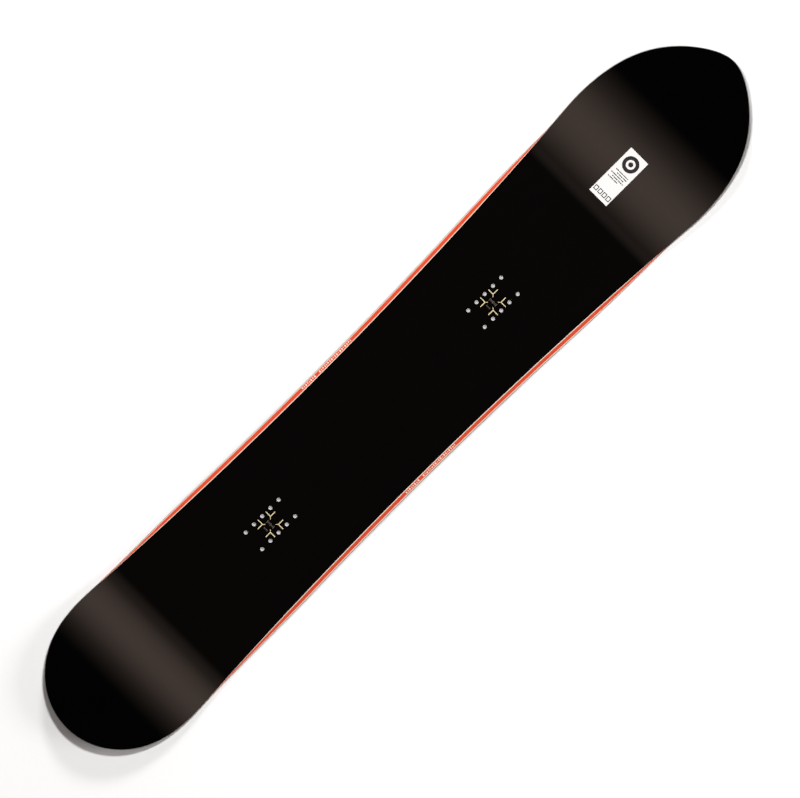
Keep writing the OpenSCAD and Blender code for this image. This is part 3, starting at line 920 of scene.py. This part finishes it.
def slab(scene, name, node_name, slot, key, gap, low, high, holes=0.0, bevel=0.0):
    """One full-width layer as a closed sheet, between the heights low and high over its plan."""
    board = Board(scene)
    side = board.side()
    plan, cells = sheet_plan(board, side, gap(board, side[0]), holes)
    points, cells = shell(plan, cells, lambda x: low(board, x), lambda x: high(board, x))
    points, cells = weld(points, cells)
    piece = to_mesh(name, points, turned_out(points, cells), finish(key))
    if bevel:
        edge = piece.modifiers.new("broken edge", "BEVEL")
        edge.width, edge.segments, edge.limit_method = bevel, 2, "ANGLE"
        edge.angle_limit = math.radians(50)
        edge.harden_normals = False
    return wear(piece, slot, node_name)


class DECK_OT_base(bpy.types.Operator):
    """Sintered base, inside the steel edge"""

    bl_idname = "deck.base"
    bl_label = "Base"

    def execute(self, context):
        slab(
            context.scene, "base_sheet", "base", "base_black", "base",
            lambda b, x: b.layers.edge_width + BARREL_GAP,
            lambda b, x: b.at(x, 0),
            lambda b, x: b.at(x, b.base_top),
        )
        return {"FINISHED"}


class DECK_OT_glass(bpy.types.Operator):
    """Lower and upper glass laminates, whose lips show beside the sidewalls"""

    bl_idname = "deck.glass"
    bl_label = "Glass laminates"

    def execute(self, context):
        slab(
            context.scene, "lower_laminate", "lower_glass", "glass_laminate", "laminate",
            lambda b, x: b.layers.edge_rim,
            lambda b, x: b.at(x, b.foil_top),
            lambda b, x: b.at(x, b.lower_glass_top),
        )
        slab(
            context.scene, "upper_laminate", "upper_glass", "glass_laminate", "laminate",
            lambda b, x: b.layers.edge_rim + (b.layers.lower_lip + b.layers.bevel_run) * b.full(x),
            lambda b, x: b.at(x, b.core(x)),
            lambda b, x: b.at(x, b.glass(x)),
            holes=context.scene.deck_packs.barrel / 2 + BARREL_GAP,
        )
        return {"FINISHED"}


class DECK_OT_topsheet(bpy.types.Operator):
    """Glossy topsheet with a hole over each insert"""

    bl_idname = "deck.topsheet"
    bl_label = "Topsheet"

    def execute(self, context):
        slab(
            context.scene, "topsheet_film", "topsheet", "topsheet_black", "film",
            lambda b, x: b.layers.edge_rim + b.band * b.full(x),
            lambda b, x: b.at(x, b.glass(x)),
            lambda b, x: b.at(x, b.deck(x)),
            holes=context.scene.deck_packs.film_hole / 2,
            bevel=0.15 * MM,
        )
        return {"FINISHED"}


class DECK_OT_edges(bpy.types.Operator):
    """Full-wrap steel edges, each with its toothed tang"""

    bl_idname = "deck.edges"
    bl_label = "Steel edges"

    def execute(self, context):
        board = Board(context.scene)
        layers = board.layers
        x, y, nx, ny = board.side()
        # even steps along the outline, two to a tooth and two to a gap of 6 mm each
        step = 3 * MM
        run = np.concatenate([[0], np.cumsum(np.hypot(np.diff(x), np.diff(y)))])
        steps = int(round(run[-1] / step))
        even = np.linspace(0, run[-1], steps + 1)
        side = [np.interp(even, run, a) for a in (x, y, nx, ny)]
        reach = np.hypot(side[2], side[3])
        side[2], side[3] = side[2] / reach, side[3] / reach
        gaps = [0, layers.edge_width, layers.tang_short, layers.tang_long]
        rows = [inset(side, d) for d in gaps]
        plan = np.stack([np.stack(r, -1) for r in rows], 1).reshape(-1, 2)
        cells = quads(steps + 1, 4)
        column, row = np.arange(len(cells)) % 3, np.arange(len(cells)) // 3
        tooth = (column < 2) | ((row // 2) % 2 == 0)
        flange = cells[tooth]
        body = cells[column == 0]

        def level(height):
            """The surface at that height above the underside, as a function of x."""
            return lambda x: board.at(x, height)

        low, middle, high = level(0), level(board.base_top), level(board.tang_top)
        parts = [
            shell(*weld2(plan, flange), middle, high),
            shell(*weld2(plan, body), low, middle),
        ]
        points, cells = weld(*join(parts))
        cells = without_pairs(cells)
        for name, (p, c) in (
            ("left", (points, cells)),
            ("right", mirrored(points, cells)),
        ):
            piece = to_mesh(f"steel_edge_{name}", p, turned_out(p, c), finish("steel"))
            wear(piece, "edge_steel", f"edge_{name}")
        return {"FINISHED"}


class DECK_OT_sidewalls(bpy.types.Operator):
    """Bevelled orange sidewalls and their cream print"""

    bl_idname = "deck.sidewalls"
    bl_label = "Sidewalls"

    def execute(self, context):
        board = Board(context.scene)
        layers = board.layers
        side = board.side()
        keep = (side[0] >= board.side_rear - 1e-9) & (side[0] <= board.side_front + 1e-9)
        side = [a[keep] for a in side]
        side[2], side[3] = side[2] * 0, side[3] * 0 + 1
        x = side[0]
        f = board.full(x)
        low, high = board.at(x, board.lower_glass_top), board.at(x, board.core(x))
        foot = layers.edge_rim + layers.lower_lip * f
        head = foot + layers.bevel_run * f
        stock = np.full_like(x, layers.sidewall_width)
        points, cells = rail(side, [(foot, low), (head, high), (stock, high), (stock, low)])
        points, cells = weld(points, cells)
        prints = self.dashes(board)
        for name, flip in (("left", False), ("right", True)):
            for key, title, slot, (p, c) in (
                ("sidewall", "bevelled_sidewall", "sidewall_orange", (points, cells)),
                ("print", "sidewall_print", "sidewall_orange", prints),
            ):
                if flip:
                    p, c = mirrored(p, c)
                c = turned_out(p, c)
                piece = to_mesh(f"{title}_{name}", p, c, finish(key))
                wear(piece, slot, *([f"sidewall_{name}"] if key == "sidewall" else []))
        return {"FINISHED"}

    def dashes(self, board):
        """A row of short upright bars, thin blocks that lie on the bevel.

        A bar is a grid over its length and its share of the bevel: the point at (x, t) is the foot
        line plus t times the run to the head line, lifted a little along the bevel's normal.
        """
        layers = board.layers
        pattern = (2.6, 1.2, 2.6, 1.8, 1.2, 2.6, 1.8, 2.6, 1.2, 1.8)
        space = 2.2 * MM
        foot, short, tall = 0.22, 0.62, 0.78
        bars = []
        x = -112 * MM
        for n in range(29):
            width = pattern[n % 10] * MM
            # two bars are left out, so the row reads as two groups
            if n not in (8, 9):
                bars.append((x, width, tall if n % 3 else short))
            x += width + space
        parts = []
        for start, width, head in bars:
            u = np.linspace(start, start + width, 3)
            f = board.full(u)
            low, high = board.at(u, board.lower_glass_top), board.at(u, board.core(u))
            slant = np.hypot(high - low, layers.bevel_run * f)
            out, up = (high - low) / slant, layers.bevel_run * f / slant
            grid = []
            for lift in (0.035 * MM, -0.02 * MM):
                for t in (foot, head):
                    run = (layers.lower_lip + layers.bevel_run * t) * f
                    y = board.open_half(u) - layers.edge_rim - run
                    z = low + (high - low) * t
                    grid.append(np.column_stack([u, y + lift * out, z + lift * up]))
            points = np.stack([grid[0], grid[1], grid[3], grid[2]], 1).reshape(-1, 3)
            cells = quads(3, 4, around=True)
            ends = np.array([[3, 2, 1, 0], [8, 9, 10, 11]])
            parts.append((points, np.vstack([cells, ends])))
        return join(parts)


class DECK_OT_spacers(bpy.types.Operator):
    """Black spacers between the wood core and the nose and tail"""

    bl_idname = "deck.spacers"
    bl_label = "Tip spacers"

    def execute(self, context):
        board = Board(context.scene)
        layers, rows = board.layers, board.fittings.rows
        full_side = board.side()
        for name, sign, limit in (("nose", 1, board.side_front), ("tail", -1, board.side_rear)):
            keep = sign * full_side[0] >= sign * limit - 1e-9
            side = [a[keep] for a in full_side]
            if sign < 0:
                side = [a[::-1] for a in side]
            side[2][0], side[3][0] = 0, 1
            lip = layers.lower_lip * board.full(side[0]) * (side[0] == limit)
            ox, oy = inset(side, layers.edge_rim + lip)
            # the wood core ends in straight cuts between its glue lines, which follow an ellipse
            half = float(board.open_half(np.array([limit]))[0]) - layers.sidewall_width
            strips = 0.75 * rows + STRIP_WIDTH * np.arange(5)
            lines = np.concatenate([[0, rows / 4], strips, [half]])
            bow = CORE_BOW * np.sqrt(np.maximum(0, 1 - (lines / (half + 1.5 * MM)) ** 2))
            bow[0], bow[-1] = bow[1], 0
            # the grid runs from the outline to the core's end in columns - 1 even steps
            columns = 8
            t = np.linspace(0, 1, len(ox))
            iy = half * (1 - t) ** 0.8
            ix = limit + sign * np.interp(iy, lines, bow)
            s = np.linspace(0, 1, columns)[None, :, None]
            outer, inner = np.stack([ox, oy], -1)[:, None], np.stack([ix, iy], -1)[:, None]
            plan = (outer * (1 - s) + inner * s).reshape(-1, 2)
            cells = quads(len(ox), columns)
            plan, cells = weld2(*join([(plan, cells), (plan * (1, -1), cells)]))
            points, cells = shell(
                plan,
                cells,
                lambda x: board.at(x, board.lower_glass_top),
                lambda x: board.at(x, board.core(x)),
            )
            points, cells = weld(points, cells)
            cells = turned_out(points, cells)
            piece = to_mesh(f"{name}_tip_spacer", points, cells, finish("spacer"))
            wear(piece, "spacer_black", f"{name}_spacer")
        return {"FINISHED"}


class DECK_OT_inserts(bpy.types.Operator):
    """Flanged steel inserts with their M6 thread"""

    bl_idname = "deck.inserts"
    bl_label = "Threaded inserts"

    def execute(self, context):
        board = Board(context.scene)
        turns = 40
        for name, pack in (("front", board.packs[0]), ("rear", board.packs[1])):
            parts, uvs = [], []
            for cx, cy in insert_places(board):
                if abs(cx - pack) > PACK_REACH:
                    continue
                points, cells, uv = self.turned(board, cx, cy, turns)
                parts.append((points, cells))
                uvs.append(uv)
            points, cells = join(parts)
            piece = to_mesh(
                f"threaded_inserts_{name}", points, turned_out(points, cells), finish("insert"),
                uv=np.vstack(uvs), smooth=38,
            )
            wear(piece, "insert_steel", f"inserts_{name}")
        return {"FINISHED"}

    def turned(self, board, cx, cy, turns):
        """One insert: the profile turned about its axis, and in the bore a radius that swings
        between bore and thread with height over pitch less the share of a turn."""
        fittings = board.fittings
        wide = fittings.flange / 2
        reach = np.array([cx - wide, cx, cx + wide])
        seat = float(np.max(board.at(reach, board.lower_glass_top))) + SEAT_GAP
        barrel, bore = fittings.barrel / 2, fittings.bore / 2
        # the topsheet covers the rim, so the level top stays under its lowest point there
        rim = np.array([cx - barrel, cx, cx + barrel])
        top = float(np.min(board.at(rim, board.glass(rim)))) - SEAT_GAP
        pole = 0.02 * MM
        outside = [
            (pole, seat), (4 * MM, seat), (wide - 0.2 * MM, seat),
            (wide, seat + 0.2 * MM), (wide, seat + 1 * MM),
            (wide - 0.2 * MM, seat + 1.2 * MM), (barrel + 0.3 * MM, seat + 1.2 * MM),
            (barrel, seat + 1.5 * MM), (barrel, top - 0.3 * MM),
            (barrel - 0.08 * MM, top - 0.08 * MM), (barrel - 0.25 * MM, top),
            (bore + 0.62 * MM, top), (bore + 0.5 * MM, top - 0.12 * MM),
        ]
        # the thread runs down the bore and fades out over its last three steps
        depth = np.linspace(top - 0.6 * MM, seat + 1.6 * MM, 40)
        floor = [
            (bore, seat + 1.3 * MM), (bore - 0.3 * MM, seat + 0.95 * MM),
            (1.2 * MM, seat + 0.9 * MM), (pole, seat + 0.9 * MM),
        ]
        radius = np.array([q[0] for q in outside] + [bore] * len(depth) + [q[0] for q in floor])
        height = np.array([q[1] for q in outside] + list(depth) + [q[1] for q in floor])
        cut = np.zeros(len(radius))
        cut[len(outside) : len(outside) + len(depth)] = np.minimum(1, np.arange(len(depth))[::-1] / 3)
        turn = np.arange(turns) / turns
        thread_pitch = 1 * MM
        phase = (height[:, None] / thread_pitch - turn[None, :]) % 1
        groove = 1 - np.abs(2 * phase - 1)
        rad = radius[:, None] + cut[:, None] * (fittings.thread / 2 - bore) * groove
        angle = 2 * math.pi * turn[None, :]
        level = np.repeat(height[:, None], turns, 1)
        points = np.stack([cx + rad * np.cos(angle), cy + rad * np.sin(angle), level], -1)
        cells = quads(len(radius), turns, around=True)
        # both pole rings are closed by strips across them
        ring = np.arange(turns)
        here, ahead = ring[: turns // 2 - 1], ring[1 : turns // 2]
        lid = np.column_stack([here, ahead, turns - 1 - ahead, turns - 1 - here])
        last = (len(radius) - 1) * turns
        cells = np.vstack([cells, lid[:, ::-1], lid + last])
        # the finish is laid round the axis and along the profile
        run = np.concatenate([[0], np.cumsum(np.hypot(np.diff(radius), np.diff(height)))])
        share = np.repeat(turn[None, :], len(radius), 0)
        uv = np.stack([share, np.repeat(run[:, None], turns, 1)], -1)
        return points.reshape(-1, 3), cells, uv.reshape(-1, 2)


def over_deck(board):
    """Gives, for a lift in millimetres, the height function of a sheet that far over the deck."""
    return lambda lift: lambda x: board.at(x, board.deck(x)) + lift * MM


class DECK_OT_label(bpy.types.Operator):
    """White label on the nose with its plain printed shapes"""

    bl_idname = "deck.label"
    bl_label = "Nose label"

    def execute(self, context):
        board = Board(context.scene)
        fittings = board.fittings
        cx = board.tip - fittings.label_back
        top = over_deck(board)
        # a plain rectangle in 30 by 14 cells, so that it follows the curve of the nose
        u, v = np.meshgrid(np.linspace(-1, 1, 31), np.linspace(-1, 1, 15), indexing="ij")
        plan = np.stack([cx + u * fittings.label_length / 2, v * fittings.label_width / 2], -1)
        plan, cells = weld2(plan.reshape(-1, 2), quads(31, 15))
        points, cells = weld(*shell(plan, cells, top(0), top(0.12)))
        piece = to_mesh("nose_label_vinyl", points, turned_out(points, cells), finish("label"))
        wear(piece, "label_vinyl", "nose_label")

        parts = []

        def bar(x0, x1, y0, y1):
            """A filled rectangle between two corners, one cell."""
            along, across = cx + np.array([x0, x1]) * MM, np.array([y0, y1]) * MM
            p = np.stack(np.meshgrid(along, across, indexing="ij"), -1)
            parts.append(weld2(p.reshape(-1, 2), quads(2, 2)))

        def ring(x0, y0, inner, outer):
            """The area between two circles about one middle, in 64 cells."""
            angle = np.linspace(0, 2 * math.pi, 65)[:-1]
            r = np.array([inner, outer])[:, None] * MM
            p = np.stack([cx + x0 * MM + r * np.cos(angle), y0 * MM + r * np.sin(angle)], -1)
            parts.append(weld2(p.reshape(-1, 2), quads(2, 64, around=True)))

        def open_box(x0, y0, half_x, half_y, line):
            """Four corners at the half sizes, and four more a line width inside them."""
            corner = np.array([(1, 1), (-1, 1), (-1, -1), (1, -1)])
            sizes = np.array([(half_x - line, half_y - line), (half_x, half_y)])
            p = corner[None] * sizes[:, None] * MM + (cx + x0 * MM, y0 * MM)
            parts.append(weld2(p.reshape(-1, 2), quads(2, 4, around=True)))

        # a plain roundel, lines of dashes like fine print, and a row of open boxes, in millimetres
        # from the middle of the label
        roundel = 29
        ring(roundel, 0, 8.4, 15)
        ring(roundel, 0, 0.02, 4.4)
        first_line, line_step, dash_step = 8.5, 4.4, 3.2
        thick, long_dash, short_dash = 1.9, 2.8, 1.9
        for n, (y0, y1) in enumerate(((-15, 15), (-15, 6), (-12, 15), (-15, 11), (-6, 15))):
            x0 = first_line - line_step * n
            for m, y in enumerate(np.arange(y0, y1 - 1.2, dash_step)):
                bar(x0 - thick, x0, y, y + (long_dash if (m + n) % 3 else short_dash))
        for y in (-14.4, -4.8, 4.8, 14.4):
            open_box(-39.9, y, 4.5, 3.8, 1.5)
        points, cells = join([shell(p, c, top(0.11), top(0.15)) for p, c in parts])
        piece = to_mesh("nose_label_print", points, turned_out(points, cells), finish("label_ink"))
        wear(piece, "label_vinyl")
        return {"FINISHED"}


class DECK_OT_marks(bpy.types.Operator):
    """Printed corner marks round the middle of each insert pack"""

    bl_idname = "deck.marks"
    bl_label = "Pack marks"

    def execute(self, context):
        board = Board(context.scene)
        top = over_deck(board)
        for name, pack in (("front", board.packs[0]), ("rear", board.packs[1])):
            parts = []

            def stroke(ax, ay, bx, by, width):
                """A straight line of ink from a to b: a plus t of the way, and half the width to
                either side."""
                a, b = np.array([ax, ay]) * MM, np.array([bx, by]) * MM
                d = (b - a) / np.linalg.norm(b - a)
                n = np.array([-d[1], d[0]]) * width * MM / 2
                t = np.linspace(0, 1, 7)[:, None, None]
                s = np.linspace(-1, 1, 3)[None, :, None]
                p = (a + (b - a) * t + n * s + (pack, 0)).reshape(-1, 2)
                parts.append(shell(*weld2(p, quads(7, 3)), top(-0.01), top(0.03)))

            for sx in (-1, 1):
                for sy in (-1, 1):
                    stroke(sx * 8.95, sy * 9.7, sx * 21, sy * 9.7, 1.5)
                    stroke(sx * 9.7, sy * 10.49, sx * 9.7, sy * 21, 1.5)
                    stroke(sx * 8.9, sy * 8.9, sx * 6.2, sy * 6.2, 1.0)
            points, cells = join(parts)
            cells = turned_out(points, cells)
            piece = to_mesh(f"pack_marks_{name}", points, cells, finish("ink"))
            wear(piece, "topsheet_black")
            # a grey scale of short strokes between the corner marks
            parts.clear()
            step, line = 2.4, 0.8
            for n in range(7):
                y, reach = step * (n - 3), 2.6 if n % 3 == 0 else 1.5
                stroke(-reach, y, reach, y, line)
            for n in range(4):
                y = step * (n - 1.5)
                stroke(-12.8, y, -10.4, y, line)
            points, cells = join(parts)
            cells = turned_out(points, cells)
            piece = to_mesh(f"pack_scale_{name}", points, cells, finish("ink_grey"))
            wear(piece, "topsheet_black")
        return {"FINISHED"}


class DECK_OT_inside(bpy.types.Operator):
    """Finishes for the laminated pieces that stay as the CAD made them"""

    bl_idname = "deck.inside"
    bl_label = "Inner pieces"

    def execute(self, context):
        inner = {
            "biaxial_glass": "laminate", "foil_left": "foil", "foil_right": "foil",
            "mat_front": "mat", "mat_rear": "mat", "carbon_left": "carbon",
            "carbon_right": "carbon", "core_middle": "poplar",
        }
        for s in ("left", "right"):
            for n in range(1, 7):
                inner[f"core_{s}_{n}"] = "beech" if n in (1, 4, 6) else "poplar"
        for name, key in inner.items():
            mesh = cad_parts[name].data
            mesh.materials.clear()
            mesh.materials.append(finish(key))
        return {"FINISHED"}


class DECK_OT_stage(bpy.types.Operator):
    """Paper floor, studio light and a camera straight above the board"""

    bl_idname = "deck.stage"
    bl_label = "Studio"

    def execute(self, context):
        scene = context.scene
        n, reach, below = 41, 6, 0.4 * MM
        line = np.linspace(-reach, reach, n)
        plan = np.stack(np.meshgrid(line, line, indexing="ij"), -1).reshape(-1, 2)
        points = np.column_stack([plan, np.full(n * n, -below)])
        floor = to_mesh("studio_floor", points, quads(n, n), finish("paper"))

        # the board lies at 45 degrees in the view, nose up and to the right
        turn = math.radians(44.94)
        across = Vector((math.cos(turn), -math.sin(turn), 0))
        upward = Vector((math.sin(turn), math.cos(turn), 0))
        # so long a lens, so far away, sees the board nearly without perspective
        width_seen, deck_height = 1.3739, 10 * MM
        camera = bpy.data.cameras.new("studio_camera")
        camera.lens, camera.sensor_width = 1400, 36
        height = width_seen * camera.lens / camera.sensor_width
        aim = Vector((0, 0.7 * MM, 0)) - upward * 7.7 * MM
        view = bpy.data.objects.new("studio_camera", camera)
        view.location = aim + Vector((0, 0, height + deck_height))
        view.rotation_euler = Euler((0, 0, -turn))
        camera.clip_start, camera.clip_end = 0.5, 80
        scene.collection.objects.link(view)
        scene.camera = view

        def lamp(name, side, up, high, size, power, in_gloss=True):
            """A round soft lamp, placed across, up and above the view, that faces the board."""
            data = bpy.data.lights.new(name, "AREA")
            data.shape, data.size, data.energy = "DISK", size, power
            made = bpy.data.objects.new(name, data)
            made.location = across * side + upward * up + Vector((0, 0, high))
            made.rotation_euler = (-made.location).to_track_quat("-Z", "Y").to_euler()
            made.visible_glossy = in_gloss
            scene.collection.objects.link(made)

        # the overhead key makes the short shadow below the board; polished faces don't mirror it
        lamp("key", 0.0, 1.05, 5.0, 0.5, 168, in_gloss=False)
        lamp("high_side", 0.0, 4.1, 3.1, 1.3, 108)
        lamp("fill_left", -4.0, -1.2, 2.6, 2.4, 8)
        lamp("fill_right", 4.0, -1.2, 2.6, 2.4, 84)

        # the ceiling is dark straight above, has a warm ring of light round it, and pale low walls
        world = bpy.data.worlds.new("studio_air")
        world.use_nodes = True
        tree = world.node_tree
        sky = tree.nodes["Background"]
        way = node(tree, "ShaderNodeTexCoord")
        split = node(tree, "ShaderNodeSeparateXYZ", (), (("Vector", way.outputs["Generated"]),))
        angle = node(tree, "ShaderNodeMath", (("operation", "ARCCOSINE"),), ((0, split.outputs["Z"]),))
        share = node(
            tree, "ShaderNodeMath", (("operation", "DIVIDE"), (1, math.pi / 2)), ((0, angle.outputs[0]),)
        )
        warm = np.array(linear("#FFE0CE"))
        # degrees from straight above, and the light there
        glow = ((0, 0.1), (0.6, 0.13), (1.6, 0.33), (3.3, 0.58), (4.9, 0.84), (7.2, 1.0), (9.0, 0.95))
        glow += ((10.4, 0.8), (12.4, 0.54), (14.2, 0.29), (16.2, 0.11), (18.4, 0.0))
        walls = ((46, 0.0), (62, 0.3), (90, 0.3))
        stops = [(a / 90, tuple(warm * v)) for a, v in glow]
        stops += [(a / 90, v) for a, v in walls]
        light = ramp(tree, share.outputs[0], *stops)
        tree.links.new(light, sky.inputs["Color"])
        sky.inputs["Strength"].default_value = 1.25
        scene.world = world
        scene.view_settings.view_transform = "Standard"
        return {"FINISHED"}


class DECK_PT_panel(bpy.types.Panel):
    """Sizes, colours and one button for each piece"""

    bl_label = "Snowboard Deck"
    bl_idname = "DECK_PT_panel"
    bl_space_type = "VIEW_3D"
    bl_region_type = "UI"
    bl_category = "Snowboard"

    def draw(self, context):
        layout, scene = self.layout, context.scene
        for title, group in (
            ("Plan", scene.deck_plan),
            ("Layers", scene.deck_layers),
            ("Packs", scene.deck_packs),
            ("Colours", scene.deck_colours),
        ):
            box = layout.box()
            box.label(text=title)
            for name in group.__annotations__:
                box.prop(group, name)
        for operator in PIECES:
            layout.operator(operator.bl_idname)


GROUPS = {
    "deck_plan": DeckPlan,
    "deck_layers": DeckLayers,
    "deck_packs": DeckPacks,
    "deck_colours": DeckColours,
}
PIECES = (
    DECK_OT_base,
    DECK_OT_edges,
    DECK_OT_glass,
    DECK_OT_sidewalls,
    DECK_OT_spacers,
    DECK_OT_inside,
    DECK_OT_inserts,
    DECK_OT_topsheet,
    DECK_OT_marks,
    DECK_OT_label,
    DECK_OT_stage,
)


def register():
    for cls in (*GROUPS.values(), *PIECES, DECK_PT_panel):
        bpy.utils.register_class(cls)
    for name, cls in GROUPS.items():
        setattr(bpy.types.Scene, name, PointerProperty(type=cls))


def unregister():
    for name in GROUPS:
        delattr(bpy.types.Scene, name)
    for cls in (DECK_PT_panel, *reversed(PIECES), *reversed(tuple(GROUPS.values()))):
        bpy.utils.unregister_class(cls)


def main():
    """Registers the add-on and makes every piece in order."""
    register()
    for operator in PIECES:
        group, name = operator.bl_idname.split(".")
        getattr(getattr(bpy.ops, group), name)()


if __name__ == "__main__":
    main()
